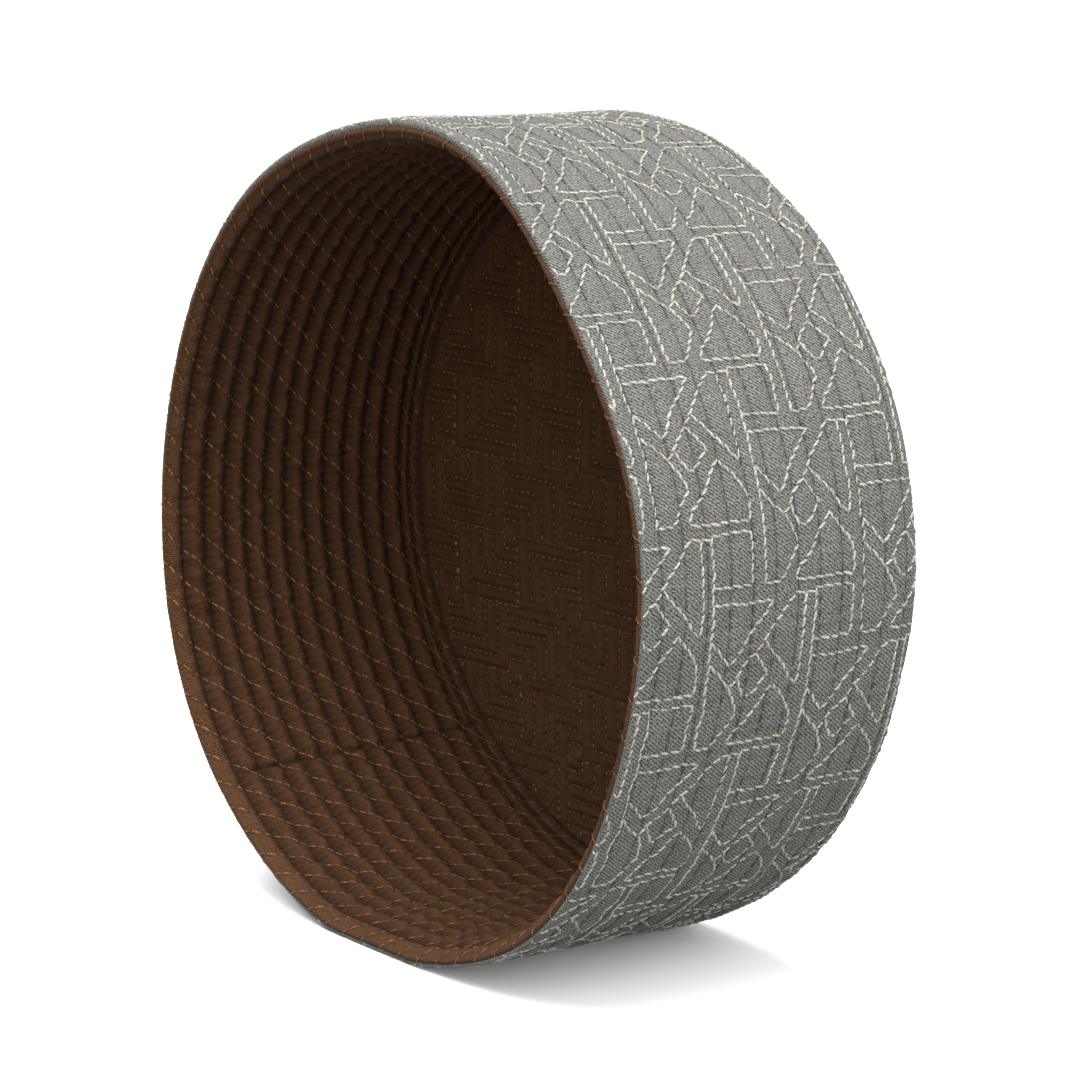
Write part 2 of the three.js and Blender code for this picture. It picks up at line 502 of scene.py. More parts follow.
def grey_cotton_twill(name):
    """Cotton twill, woven and dyed grey: fine slanted lines, no gloss, a little nap."""
    # The twill lines are 0.66 mm apart
    weave = (0.66, -52.5, 0.09)
    nip = (2.9, 0.25, 0.4)
    nap = {"Roughness": 0.9, "Sheen Weight": 0.12, "Sheen Roughness": 0.5, "Specular IOR Level": 0.3}
    return cloth_material(name, "cloth", weave, nip, 0.34, 0.5, nap)


def brown_lining_twill(name):
    """Polyester and cotton lining twill, woven and dyed brown: soft, faintly lustrous."""
    # The real weave is about 0.4 mm, drawn at 0.6 mm so that it shows
    weave = (0.6, 40, 0.03)
    nip = (2.1, 0.25, 0.75)
    lustre = {"Roughness": 0.85, "Sheen Weight": 0.03, "Specular IOR Level": 0.2}
    return cloth_material(name, "lining", weave, nip, 0.68, 1.3, lustre)


def brown_bias_edge(name):
    """The same twill cut on the bias and folded: its ribs run across the edge."""
    # The real weave is about 0.4 mm, drawn at 0.5 mm so that it shows
    weave = (0.5, 84, 0.12)
    nip = (2.3, 0.2, 0.7)
    lustre = {"Roughness": 0.85, "Sheen Weight": 0.03, "Specular IOR Level": 0.2}
    return cloth_material(name, "edge", weave, nip, 0.7, 0.9, lustre)


def cream_rayon_thread(name):
    """Rayon embroidery thread, spun in two plies: pale, with a silky gloss."""
    silky = {"Roughness": 0.5, "Sheen Weight": 0.2, "Specular IOR Level": 0.45}
    return thread_material(name, "cream", 0.5, silky)


def ochre_polyester_thread(name):
    """Polyester sewing thread, spun in two plies: ochre with small glints."""
    glinting = {"Roughness": 0.45, "Sheen Weight": 0.1, "Specular IOR Level": 0.5}
    return thread_material(name, "ochre", 0.45, glinting)


def grey_cotton_thread(name):
    """Spun cotton quilting thread: matt, in a grey a little darker than the cloth."""
    matt = {"Roughness": 0.8, "Specular IOR Level": 0.3}
    return thread_material(name, "quilting", 0.45, matt)


GRAIN_SIZE = 1.25 * MM  # real paper is finer, and is drawn coarser so that it can show
WHITE = (1.0, 1.0, 1.0, 1.0)
SEEN_PAPER = (1.9, 1.9, 1.9, 1.0)
SEEN_GLOW = 0.04


def white_studio_paper(name):
    """Matt white studio paper: even, with no gloss.

    The camera sees it brighter than white, so that only the shadow shows on it.
    """
    material, tree = new_material(name)
    grain = add_node(tree, "TexNoise", {"Scale": 1 / GRAIN_SIZE}), "Fac"
    inputs = {"Height": grain, "Strength": 0.1, "Distance": 0.1 * MM}
    normal = add_node(tree, "Bump", inputs), "Normal"
    inputs = {"Color": SEEN_PAPER, "Normal": normal}
    paper = add_node(tree, "BsdfDiffuse", inputs), "BSDF"
    glow = add_node(tree, "Emission", {"Color": WHITE, "Strength": SEEN_GLOW}), "Emission"
    seen = add_node(tree, "AddShader", {"Shader": paper, "Shader_001": glow}), "Shader"
    colour = (*bpy.context.scene.cap_colours.floor, 1)
    lit = add_node(tree, "BsdfDiffuse", {"Color": colour, "Normal": normal}), "BSDF"
    camera_sees(tree, seen, lit, "OutputMaterial")
    return material


def material(maker):
    """The material named like its maker, made the first time it is asked for."""
    return bpy.data.materials.get(maker.__name__) or maker(maker.__name__)


# Meshes


def add_object(name, data):
    """An object in the scene for a mesh, lamp or camera."""
    made = bpy.data.objects.new(name, data)
    bpy.context.scene.collection.objects.link(made)
    return made


def add_piece(name, points, faces, finish, uvs, marks):
    """Adds a piece from points in the cap's millimetres, and rides it on the cap.

    uvs holds two numbers in metres for each corner of each face, and marks holds
    named values for each point.
    """
    mesh = bpy.data.meshes.new(name)
    mesh.from_pydata(((points + ORIGIN) * MM).tolist(), [], faces)
    mesh.polygons.foreach_set("use_smooth", [True] * len(mesh.polygons))
    layer = mesh.uv_layers.new(name="cloth")
    layer.data.foreach_set("uv", np.asarray(uvs, np.float32).ravel())
    for mark, values in marks.items():
        attribute = mesh.attributes.new(mark, "FLOAT", "POINT")
        attribute.data.foreach_set("value", np.asarray(values, np.float32).ravel())
    mesh.materials.append(material(finish))
    mesh.validate()
    piece = add_object(name, mesh)
    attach(piece, BODY)
    return piece


# Close columns beside the band's join, and how far the even ones keep from them
JOIN_COLUMNS = (-1.6, -0.8, -0.35, 0, 0.35, 0.8, 1.6)
JOIN_CLEARANCE = 0.3


def column_angles():
    """Even columns round the cap, with a few close ones at the join."""
    even = np.arange(COLUMNS) / COLUMNS * TURN
    close = JOIN_ANGLE + np.array(JOIN_COLUMNS) / BAND_RADIUS
    spaced = [a for a in even if np.abs(a - close).min() > JOIN_CLEARANCE / BAND_RADIUS]
    return np.sort(np.concatenate([spaced, close]))


# How far from a line its painted shade in the creases reaches, and the nips beside it
BAND_CREASE = 0.3
BAND_NIPS = 1.5
JOIN_CREASE = 0.4
LINING_CREASE = 2.1
LINING_NIPS = 2.2
LINING_JOIN_CREASE = 0.5
CROWN_CREASE = 0.35
CROWN_LINING_CREASE = 1.1
CROWN_NIPS = 1.6
CROWN_SHADE = 0.25  # painted shade over the whole crown between its lines, as a share of that in its creases
# Painted shade added along the crown's quilting lines
CROWN_LINE_SHADE = 0.5


def ring_piece(name, points, angles, along, radius, finish, slot, marks):
    """A piece turned round the cap, from its points by row and column.

    Its outline is closed, and along holds the rows' lengths on the cloth.
    """
    rows, columns = points.shape[:2]
    row, column = np.meshgrid(np.arange(rows), np.arange(columns), indexing="ij")
    low, high = row * columns, (row + 1) % rows * columns
    beside = (column + 1) % columns
    quads = np.stack([low + column, high + column, high + beside, low + beside], -1)
    walked = np.append(along, along[-1] + 1) * MM
    arc = np.append(angles, angles[0] + TURN) * radius * MM
    u = np.stack([walked[row], walked[row + 1], walked[row + 1], walked[row]], -1)
    v = np.stack([arc[column], arc[column], arc[column + 1], arc[column + 1]], -1)
    faces = quads.reshape(-1, 4).tolist()
    return add_piece(name, points.reshape(-1, 3), faces, finish, np.stack([u, v], -1), marks)


# Rows of the band's cloth beside each quilting line, between the folded edge and the
# first line, and on its hidden side
LINE_OFFSETS = (-2.825, -1.9, -1.1, -0.55, -0.25, 0, 0.25, 0.55, 1.1, 1.9)
EDGE_RUNS = (1.3, 1.9)
FOLD_STEPS = 9
BACK_RUNS = (SEAM_RUN, SEAM_RUN, 72, BAND_HEIGHT, 40, 5)
SEAM_EDGE = 0.35  # depth of the cloth's edge at the crown seam
SEAM_CLEARANCE = 0.3  # how far the last row of its face stops before the seam


def band_cloth():
    """The outer band: pulled down at each quilting line, full between them."""
    angles = column_angles()
    lines = FIRST_LINE + LINE_PITCH * np.arange(LINE_COUNT)
    outer = (lines[:, None] + np.array(LINE_OFFSETS)).ravel()
    outer = outer[(outer >= EDGE_RUNS[1]) & (outer <= SEAM_RUN - SEAM_CLEARANCE)]
    outer = np.append(EDGE_RUNS[0], np.unique(outer.round(4)))
    bend = np.linspace(math.pi, 0, FOLD_STEPS)[:, None]
    straight = np.concatenate([outer, BACK_RUNS])[:, None]
    run = np.concatenate([fold_round(angles) * (1 - bend), straight + 0 * angles])
    face = FOLD_STEPS + len(outer)
    lift = np.zeros((len(run), 1))
    lift[face:] = -SHELL_WALL
    lift[face] = -SEAM_EDGE
    dip = embroidery_dip(run, angles)
    relief = band_relief(run, angles) - dip
    relief[face:] = 0
    relief[:FOLD_STEPS] *= 1 - bend / math.pi
    points = wall(run, angles + 0 * run, lift + relief)
    distance = line_distance(run)
    # Painted shade: darker in the quilting furrows, along the join and beside the embroidery
    crease = dent(distance, BAND_CREASE) + dent(join_distance(angles), JOIN_CREASE) + 2 * dip
    marks = {"crease": np.clip(crease, 0, 1), "pull": dent(distance, BAND_NIPS)}
    along = np.concatenate([0.5 * (1 - bend[:, 0]), outer, SEAM_RUN + np.arange(len(BACK_RUNS))])
    finish = (grey_cotton_twill, "grey_twill")
    piece = ring_piece("band_cloth", points, angles, along, BAND_RADIUS, *finish, marks)
    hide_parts("band_shell")


def band_lining_quilt():
    """The lining of the band: soft ribs, pinched where the slanted rows cross them."""
    angles = column_angles()
    ribs = np.append(LINING_START, np.arange(FIRST_LINE, LAST_LINE - 0.01, LINE_PITCH / 8))
    inner = np.concatenate([ribs, np.linspace(LAST_LINE, SEAM_RUN, 10)])
    outer = np.array([SEAM_RUN, 72, BAND_HEIGHT, 40, LINING_START])
    run = np.concatenate([inner, outer])[:, None]
    lift = np.concatenate([0 * inner - LINING_FACE, 0 * outer - LINING_INSET])[:, None]
    relief = rib_relief(run, angles)
    relief[len(inner) :] = 0
    points = wall(run + 0 * angles, angles + 0 * run, lift - relief)[::-1]
    distance = line_distance(lining_run(run)) + 0 * angles
    # Painted shade: darker in the lining's furrows and along its join
    join = dent(join_distance(angles, LINING_RADIUS), LINING_JOIN_CREASE)
    crease = np.clip(dent(distance, LINING_CREASE) + join, 0, 1)
    marks = {"crease": crease[::-1], "pull": dent(distance, LINING_NIPS)[::-1]}
    along = np.concatenate([inner, SEAM_RUN + 1 + np.arange(len(outer))])[::-1]
    finish = (brown_lining_twill, "brown_lining")
    piece = ring_piece("band_lining_quilt", points, angles, along, LINING_RADIUS, *finish, marks)
    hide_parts("band_lining")


# The bound edge is a fold of lining. Its skin runs from beside the outer cloth,
# round the front, and along the inside to just before the lining's first rib.
EDGE_ROUND = 0.7
EDGE_TUCK = 0.15  # how far it stops short of the lining's first rib
EDGE_OUTSIDE = BINDING_DEPTH - EDGE_ROUND
EDGE_TURN = EDGE_OUTSIDE + math.pi * EDGE_ROUND
EDGE_REACH = EDGE_TURN + LINING_START - EDGE_ROUND - EDGE_TUCK
EDGE_PADDING = 1.0
EDGE_SWING = 0.25  # unevenness of the padding, as a share of it
EDGE_PINCH = 0.5  # how much of a row's pinch is left on the edge
EDGE_PINCH_WIDTH = 1.5
EDGE_COLUMNS = 720
EDGE_NIP = 0.14  # how deep a stitch nips the fold
EDGE_NIP_WIDTH = 0.8
EDGE_WAVINESS = 0.05
EDGE_BACK_INSETS = (0.9, 0.3)  # how far the hidden side lies from the lining and the front
# Painted shade: how far it reaches back from the edge's end, then how dark it is at a stitch's nip
# and at that end
EDGE_END_CREASE = 1.2
EDGE_NIP_SHADE = 0.4
EDGE_END_SHADE = 0.7
ROW_LEAD = 3.6  # how far a row runs on round the opening while it crosses the fold
LEAD_START = 1.2  # how far inside the fold it begins to


def edge_inset(angle):
    """How far inside the outer cloth the bound edge lies."""
    return 1.75 * fold_round(angle)


def edge_skin(skin, angle, lift):
    """Points at a distance along the edge's skin, so far proud of it."""
    turn = np.clip((skin - EDGE_OUTSIDE) / EDGE_ROUND, 0, math.pi)
    before = np.maximum(EDGE_OUTSIDE - skin, 0)
    after = np.maximum(skin - EDGE_TURN, 0)
    share = np.clip(after / (EDGE_REACH - EDGE_TURN), 0, 1)
    inset = edge_inset(angle) + EDGE_ROUND - (EDGE_ROUND + lift) * np.cos(turn)
    inset = inset + (LINING_FACE - edge_inset(angle) - 2 * EDGE_ROUND) * share
    pinched = EDGE_PINCH * bpy.context.scene.cap_lining.row_pinch
    pinch = 1 - pinched * edge_pinch(skin, angle, EDGE_PINCH_WIDTH)
    padding = 1 + EDGE_SWING * uneven(angle, skin, WADDING_WAVES)
    inset = inset + EDGE_PADDING * np.sin(math.pi * share) * pinch * padding
    y = EDGE_ROUND - (EDGE_ROUND + lift) * np.sin(turn) + before + after
    return formed(BAND_RADIUS - inset, y, angle, inset)


def edge_row_angle(row, skin):
    """Angle of a lining row where it runs over the edge."""
    sizes = bpy.context.scene.cap_lining
    y = np.maximum(skin - EDGE_TURN, 0) + EDGE_ROUND
    past = np.clip((EDGE_TURN + LEAD_START - skin) / EDGE_TURN, 0, 1)
    arc = sizes.row_slope * (y - EDGE_ROUND * 0.6) - ROW_LEAD * past
    return row * TURN / sizes.row_count + arc / LINING_RADIUS


def edge_pinch(skin, angle, width):
    """How near a point of the edge is to a stitch over it, 0 to 1."""
    pitch = TURN / bpy.context.scene.cap_lining.row_count
    turn = wrapped(angle - edge_row_angle(0, skin), pitch)
    return dent(np.abs(turn) * LINING_RADIUS, width)


def bound_edge():
    """The folded edge round the opening, nipped in under each stitch."""
    angles = np.arange(EDGE_COLUMNS) / EDGE_COLUMNS * TURN
    outside = np.linspace(0, EDGE_OUTSIDE, 3)[:-1]
    front = np.linspace(EDGE_OUTSIDE, EDGE_TURN, 11)[:-1]
    skin = np.concatenate([outside, front, np.linspace(EDGE_TURN, EDGE_REACH, 7)])[:, None]
    nipped = edge_pinch(skin, angles, EDGE_NIP_WIDTH)
    lift = EDGE_WAVINESS * uneven(angles, skin, WADDING_WAVES) - EDGE_NIP * nipped
    points = edge_skin(skin + 0 * angles, angles + 0 * skin, lift)
    inner, outer = EDGE_BACK_INSETS
    back_inset = np.stack([LINING_FACE - inner + 0 * angles, edge_inset(angles) + outer])
    back_y = np.array([[LINING_START - EDGE_TUCK], [BINDING_DEPTH + 0.2]])
    back = formed(BAND_RADIUS - back_inset, back_y, angles, back_inset)
    points = np.concatenate([points, back])[::-1]
    along = np.concatenate([skin[:, 0], EDGE_REACH + 1 + np.arange(2)])[::-1]
    # Painted shade in the furrow at the edge's end and where each stitch nips the fold
    end = EDGE_END_SHADE * dent(EDGE_REACH - skin, EDGE_END_CREASE)
    mark = np.maximum(EDGE_NIP_SHADE * nipped, end)
    crease = np.concatenate([mark, 0 * back_inset])[::-1]
    marks = {"crease": crease, "pull": 0 * crease}
    finish = (brown_bias_edge, "brown_binding")
    piece = ring_piece("bound_edge", points, angles, along, LINING_RADIUS, *finish, marks)
    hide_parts("rim_binding")


def disc_grid(steps):
    """An even square grid drawn out to a round disc of radius 1."""
    a, b = np.meshgrid(np.linspace(-1, 1, steps), np.linspace(-1, 1, steps), indexing="ij")
    wide = np.abs(a) > np.abs(b)
    radius = np.where(wide, a, b)
    safe_a = np.where(a == 0, 1, a)
    safe_b = np.where(b == 0, 1, b)
    turn = np.where(wide, math.pi / 4 * b / safe_a, math.pi / 2 - math.pi / 4 * a / safe_b)
    return radius * np.cos(turn), radius * np.sin(turn)


def disc_piece(name, face, back, padding, finish, slot, steps, crease):
    """A quilted disc whose face is padded and whose back is flat, at two lifts."""
    outward = 1 if face > back else -1
    grid_x, grid_z = disc_grid(steps)
    x, z = grid_x * SEAM_RADIUS, grid_z * SEAM_RADIUS
    top = crown(x, z, face + outward * crown_relief(x, z, padding)).reshape(-1, 3)
    index = np.arange(steps * steps).reshape(steps, steps)
    border = np.concatenate([index[0, :-1], index[:-1, -1], index[-1, :0:-1], index[:0:-1, 0]])
    edge_x, edge_z = x.ravel()[border], z.ravel()[border]
    points = np.concatenate([top, crown(edge_x, edge_z, back + 0 * edge_x)])
    quads = np.stack([index[:-1, :-1], index[:-1, 1:], index[1:, 1:], index[1:, :-1]], -1)
    rim = steps * steps + np.arange(len(border))
    sides = np.stack([np.roll(border, -1), border, rim, np.roll(rim, -1)], -1)
    faces = [*quads.reshape(-1, 4).tolist(), *sides.tolist(), rim.tolist()]
    if outward < 0:
        faces = [corners[::-1] for corners in faces]
    place = np.stack([np.append(x, edge_x), np.append(z, edge_z)], -1) * MM
    uvs = place[np.concatenate([np.array(corners) for corners in faces])]
    distance = corner_distance(x, z)
    # Painted shade over the whole crown, deeper along its quilting lines
    marks = {
        "crease": np.append(CROWN_SHADE + CROWN_LINE_SHADE * dent(distance, crease), 0 * edge_x),
        "pull": np.append(dent(distance, CROWN_NIPS), 0 * edge_x),
    }
    return add_piece(name, points, faces, finish, uvs, marks)


def crown_cloth():
    """The outer crown, quilted in the same corners as its lining."""
    finish = (grey_cotton_twill, "grey_twill")
    piece = disc_piece("crown_cloth", 0, -SHELL_WALL, OUTER_PADDING, *finish, 150, CROWN_CREASE)
    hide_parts("crown_top")


def crown_lining_quilt():
    """The crown's lining, padded softly between its quilting lines."""
    lifts = (-LINING_FACE, -LINING_INSET)
    finish = (brown_lining_twill, "brown_lining")
    piece = disc_piece("crown_lining_quilt", *lifts, INNER_PADDING, *finish, 190, CROWN_LINING_CREASE)
    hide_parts("crown_lining")


# Stitches are drawn on a chart of the cloth in millimetres and then laid on it.
# A ring of a stitch: share of its length, of its width, and of its rise.
STITCH_RINGS = ((0.0, 0.45, -0.2), (0.28, 1.0, 0.14), (0.72, 1.0, 0.14), (1.0, 0.45, -0.2))
SHARP_TURN = math.radians(38)
END_WANDER = 0.09  # unevenness of a stitch's ends, as a share of its width
GIRTHS = (0.85, 1.12)
# Painted sheen: the middle and the spread of each stitch's random brightness
MIDDLE_SHEEN_TONE = 0.6
SHEEN_TONE_SPREAD = 0.3


def stitches_along(route, pitch):
    """Start and end of each even stitch along a route, which keeps its sharp corners."""
    route = np.array(route, float)
    legs = np.diff(route, axis=0)
    turns = np.abs(wrapped(np.diff(np.arctan2(legs[:, 1], legs[:, 0]))))
    corners = [0, *(np.nonzero(turns > SHARP_TURN)[0] + 1), len(route) - 1]
    stitches = []
    for start, end in zip(corners[:-1], corners[1:]):
        part = route[start : end + 1]
        walked = np.concatenate([[0], np.cumsum(np.linalg.norm(np.diff(part, axis=0), axis=1))])
        stops = np.linspace(0, walked[-1], max(1, round(walked[-1] / pitch)) + 1)
        places = np.stack([np.interp(stops, walked, part[:, i]) for i in range(2)], -1)
        stitches += list(zip(places[:-1], places[1:]))
    return stitches


def stitch_faces(rings, sides, reach, width):
    """Faces of one stitch, and the corner lengths of all stitches."""
    faces, corners = [], []
    for ring in range(rings - 1):
        for side in range(sides):
            beside = (side + 1) % sides
            low, high = ring * sides, (ring + 1) * sides
            faces.append([low + side, low + beside, high + beside, high + side])
            corners += [(ring, side), (ring, side + 1), (ring + 1, side + 1), (ring + 1, side)]
    faces.append(list(range(sides))[::-1])
    faces.append([(rings - 1) * sides + side for side in range(sides)])
    corners += [(0, side) for side in range(sides)][::-1]
    corners += [(rings - 1, side) for side in range(sides)]
    ring_share = np.array([STITCH_RINGS[ring][0] for ring, side in corners])
    side_share = np.array([side / sides for ring, side in corners])
    u = reach[:, None] * ring_share * MM
    v = width * math.pi * side_share * MM + 0 * u
    return faces, np.stack([u, v], -1)


def stitch_piece(name, stitches, width, gap, lay, finish, slot, seed, slant=0.3, sides=5, flat=0.7):
    """Lays stitches on a surface as one joined mesh.

    lay turns chart points and a rise into points of the cap. slant is how far a
    stitch leans across its line, as a share of its width.
    """
    draw = np.random.default_rng(seed)
    ends = np.array(stitches)
    count = len(ends)
    step = ends[:, 1] - ends[:, 0]
    reach = np.linalg.norm(step, axis=-1, keepdims=True)
    ahead = step / reach
    across = np.stack([-ahead[:, 1], ahead[:, 0]], -1)
    shrink = gap / 2 / reach
    wander = draw.normal(0, END_WANDER * width, (count, 2, 1)) * across[:, None]
    first = ends[:, 0] + step * shrink + wander[:, 0] - across * slant * width
    last = ends[:, 1] - step * shrink + wander[:, 1] + across * slant * width
    around = np.arange(sides) / sides * TURN
    girth = width * draw.uniform(*GIRTHS, (count, 1, 1))
    along, wide, rise = (share[None, :, None] for share in np.array(STITCH_RINGS).T)
    middle = first[:, None, None] + (last - first)[:, None, None] * along[..., None]
    sideways = girth / 2 * wide * np.cos(around)
    chart = middle + across[:, None, None] * sideways[..., None]
    lift = flat * girth * (rise + wide / 2 * np.sin(around))
    points = lay(chart[..., 0], chart[..., 1], lift).reshape(-1, 3)
    faces, uvs = stitch_faces(len(STITCH_RINGS), sides, reach[:, 0], width)
    rings = len(STITCH_RINGS) * sides
    all_faces = [[n * rings + corner for corner in face] for n in range(count) for face in faces]
    # Each stitch gets a random painted sheen
    sheen_tones = np.repeat(np.clip(draw.normal(MIDDLE_SHEEN_TONE, SHEEN_TONE_SPREAD, count), 0, 1), rings)
    return add_piece(name, points, all_faces, finish, uvs, {"tone": sheen_tones})


# One repeat of the embroidery, charted in millimetres: along the wall
# from the opening, and round the cap towards smaller angles.
REPEAT_STEPS = ((25.6, 12.8), (-12.8, 32.2))
REPEAT_START = (30.0, 12.4)
CHART_ANGLE = math.radians(35)  # where the chart's second length is zero
BAR_ROUTES = (
    ((0, 0), (0, 13.5), (0, 42.7)),
    ((0, 0), (9.6, 0), (10, 1), (9.7, 10.3), (0, 10.1)),
    ((13.4, 21.6), (17, 25.4), (19.2, 27.8), (21, 30.5), (22.6, 31.5), (22.9, 27.6), (23, 13.5)),
    (
        (16.7, 30.6), (19.8, 33.8), (21.8, 36.3), (22.9, 38.2), (22.9, 42.6), (22.6, 43.1),
        (8.3, 42.8), (8, 42.2), (8.6, 40.5), (11, 38.6), (13, 36.1), (14.6, 33.6), (16.7, 30.6),
    ),
)
SLANT_ROUTES = (
    (
        (0, 13.5), (15.2, 13.7), (13.4, 16.1), (11.2, 18.3), (9.1, 20.4), (7.6, 22.8),
        (6.4, 24.9), (5.4, 25.6), (4.2, 24.8), (2.4, 22.5), (0.1, 20.2),
    ),
    (
        (0.1, 24.8), (5.6, 30.2), (7.3, 28.4), (8.6, 26), (11.5, 23.6), (13.4, 21.2),
        (16, 18.1), (18.3, 15.4), (20.5, 13.2), (21.5, 13.4), (26, 13.4),
    ),
    (
        (7.4, 28.4), (8.4, 30.6), (9.8, 32.4), (11.2, 32.5), (13.2, 30.2), (14.4, 28.6),
        (15.3, 28.5), (13.8, 27), (12.5, 25.2), (11.4, 24),
    ),
    ((5.6, 30.2), (7.5, 33.2), (8.6, 35.8), (7.2, 38), (5.2, 41.2), (4, 42.4), (0, 42.7)),
)
REPEAT_REACH = 16  # repeats tried to each side of the first
JOIN_MARGIN = 1.5  # how far the embroidery keeps from the band's join
SEAM_MARGIN = 0.8
LOWEST_MIDDLE = -0.2  # a stitch may reach this far round the folded edge
LOWEST_END = -0.4


def embroidery_stitches(routes, pitch):
    """Every stitch of the repeat round the band, from the edge up to the crown seam."""
    first = (CHART_ANGLE - JOIN_ANGLE) * BAND_RADIUS + JOIN_MARGIN
    last = first + TURN * BAND_RADIUS - 2 * JOIN_MARGIN
    cell = np.array([stitch for route in routes for stitch in stitches_along(route, pitch)])
    found = []
    for i in range(-REPEAT_REACH, REPEAT_REACH + 1):
        for j in range(-REPEAT_REACH, REPEAT_REACH + 1):
            moved = cell + np.array(REPEAT_START) + np.array([i, j]) @ np.array(REPEAT_STEPS)
            middle = moved.mean(axis=1)
            inside = (middle[:, 0] > LOWEST_MIDDLE) & (middle[:, 0] < SEAM_RUN - SEAM_MARGIN)
            inside &= (middle[:, 1] > first) & (middle[:, 1] < last)
            found += list(moved[inside])
    found = np.array(found)
    found[..., 0] = np.maximum(found[..., 0], LOWEST_END)
    return found


DIP_STEP = 1.1
DIP_WIDTH = 1.3


def embroidery_dip(run, angle):
    """How far the embroidery pulls the cloth down at points of the band."""
    steps = np.array(REPEAT_STEPS)
    pairs = [pair for route in BAR_ROUTES + SLANT_ROUTES for pair in stitches_along(route, DIP_STEP)]
    around = [np.array([i, j]) @ steps for i in range(-2, 3) for j in range(-2, 3)]
    stops = np.concatenate([np.concatenate(pairs) + shift for shift in around])
    tree = KDTree(len(stops))
    for number, (x, y) in enumerate(stops):
        tree.insert((x, y, 0), number)
    tree.balance()
    place = np.stack(np.broadcast_arrays(run, (CHART_ANGLE - angle) * BAND_RADIUS), -1)
    share = (place - np.array(REPEAT_START)) @ np.linalg.inv(steps)
    folded = (share - np.floor(share)) @ steps
    near = [tree.find((x, y, 0))[2] for x, y in folded.reshape(-1, 2)]
    near = np.array(near).reshape(folded.shape[:-1])
    return size("embroidery_pull") * dent(near, DIP_WIDTH)


# The quilting thread bridges part of its furrow, and the embroidery most of its dips
BRIDGED_SHARE = 0.35
SUNK_SHARE = 0.55


def lay_on_band(along, around, lift):
    """Chart of the outer band: along the wall, and round it from the chart's angle."""
    angle = CHART_ANGLE - around / BAND_RADIUS
    bridged = BRIDGED_SHARE * size("furrow_depth")
    relief = band_relief(along, angle) + bridged * dent(line_distance(along), 0.6)
    return wall(along, angle, lift + relief)


# How far the embroidery's lines wander, and how much more about the loosest place,
# which is by the opening at the bottom
WANDER = 0.16
LOOSE_WANDER = 0.75
LOOSE_ANGLE = math.radians(-65)
LOOSE_SPREAD = math.radians(38)
LOOSE_REACH = 22


def lay_embroidery(along, around, lift):
    """The same chart for the embroidery, which lies in the dips that it makes."""
    angle = CHART_ANGLE - around / BAND_RADIUS
    loose = dent(wrapped(angle - LOOSE_ANGLE), LOOSE_SPREAD) * dent(along, LOOSE_REACH)
    wander = WANDER + LOOSE_WANDER * loose
    around = around + wander * uneven(angle, along, THREAD_WAVES)
    along = along + wander * uneven(angle + 1, along, THREAD_WAVES) * np.clip(along / 4, 0, 1)
    sunk = SUNK_SHARE * size("embroidery_pull")
    return lay_on_band(along, around, lift - sunk)


ROW_LOOSENESS = 0.26
ROW_SINK = 0.05


def lay_on_lining(along, around, lift):
    """Chart of the band's lining, where the rows lie loosest at the bottom."""
    angle = around / LINING_RADIUS
    loose = ROW_LOOSENESS * lowness(angle, 0, 1.3) - ROW_SINK
    return wall(along, angle, -LINING_FACE - rib_relief(along, angle) - lift - loose)


def lay_on_edge(skin, around, lift):
    """Chart of the bound edge: along its skin, and round it from zero."""
    return edge_skin(skin, around / LINING_RADIUS, lift)


def lay_on_crown(x, z, lift):
    """Chart of the outer crown."""
    return crown(x, z, lift + crown_relief(x, z, OUTER_PADDING))


def lay_in_crown(x, z, lift):
    """Chart of the crown's lining."""
    return crown(x, z, -LINING_FACE - crown_relief(x, z, INNER_PADDING) - lift)


# What a piece of thread is made of and its slot
CREAM = (cream_rayon_thread, "grey_twill")
OCHRE = (ochre_polyester_thread, "brown_lining")
EDGE_OCHRE = (ochre_polyester_thread, "brown_binding")
GREY = (grey_cotton_thread, "grey_twill")
# Share of a stitch's pitch that is under the cloth
QUILTING_GAP = 0.25
LINING_GAP = 0.08
CROWN_GAP = 0.34
# How far inside the crown seam its thread, the lining's rows and the crown's stitches end
SEAM_THREAD = 0.7
ROWS_END = 1
CROWN_END = 1.5


def embroidery():
    """Cream stitches: the square bars and the slanted lines, two pieces."""
    parts = {"embroidery_bars": (BAR_ROUTES, 41), "embroidery_slants": (SLANT_ROUTES, 43)}
    for name, (routes, seed) in parts.items():
        stitches = embroidery_stitches(routes, size("cream_pitch"))
        across = (size("cream_width"), size("cream_gap"))
        stitch_piece(name, stitches, *across, lay_embroidery, *CREAM, seed, slant=0.35, flat=0.62)


def quilting_thread():
    """Grey quilting stitches in the band's furrows and along the crown seam."""
    pitch = size("quilting_pitch")
    stitches = []
    for run in [*(FIRST_LINE + LINE_PITCH * np.arange(LINE_COUNT)), SEAM_RUN - SEAM_THREAD]:
        stitches += stitches_along([(run, 0), (run, TURN * BAND_RADIUS)], pitch)
    across = (size("quilting_width"), pitch * QUILTING_GAP)
    stitch_piece("quilting_thread", stitches, *across, lay_on_band, *GREY, 47, slant=0.1, sides=4)


def lining_rows():
    """Ochre stitches in slanted rows over the lining's ribs."""
    lining = bpy.context.scene.cap_lining
    pitch = size("ochre_pitch")
    stitches = []
    for row in range(lining.row_count):
        start = row * row_pitch()
        runs = (LINING_START, SEAM_RUN - ROWS_END)
        ends = [(run, start + lining.row_slope * run) for run in runs]
        stitches += stitches_along(ends, pitch)
    across = (size("ochre_width"), pitch * LINING_GAP)
    stitch_piece("lining_rows", stitches, *across, lay_on_lining, *OCHRE, 53)


# Places of a row's stitches on the strip inside the edge, back from the strip's end
STRIP_STITCHES = ((0.15, 1.25), (1.9, 3.0))
OVER_STITCH = 0.7  # length of a stitch over the fold, as a share of its radius
OVER_COUNT = 4
OVER_WIDTH = 0.95  # width of those stitches, as a share of the lining's


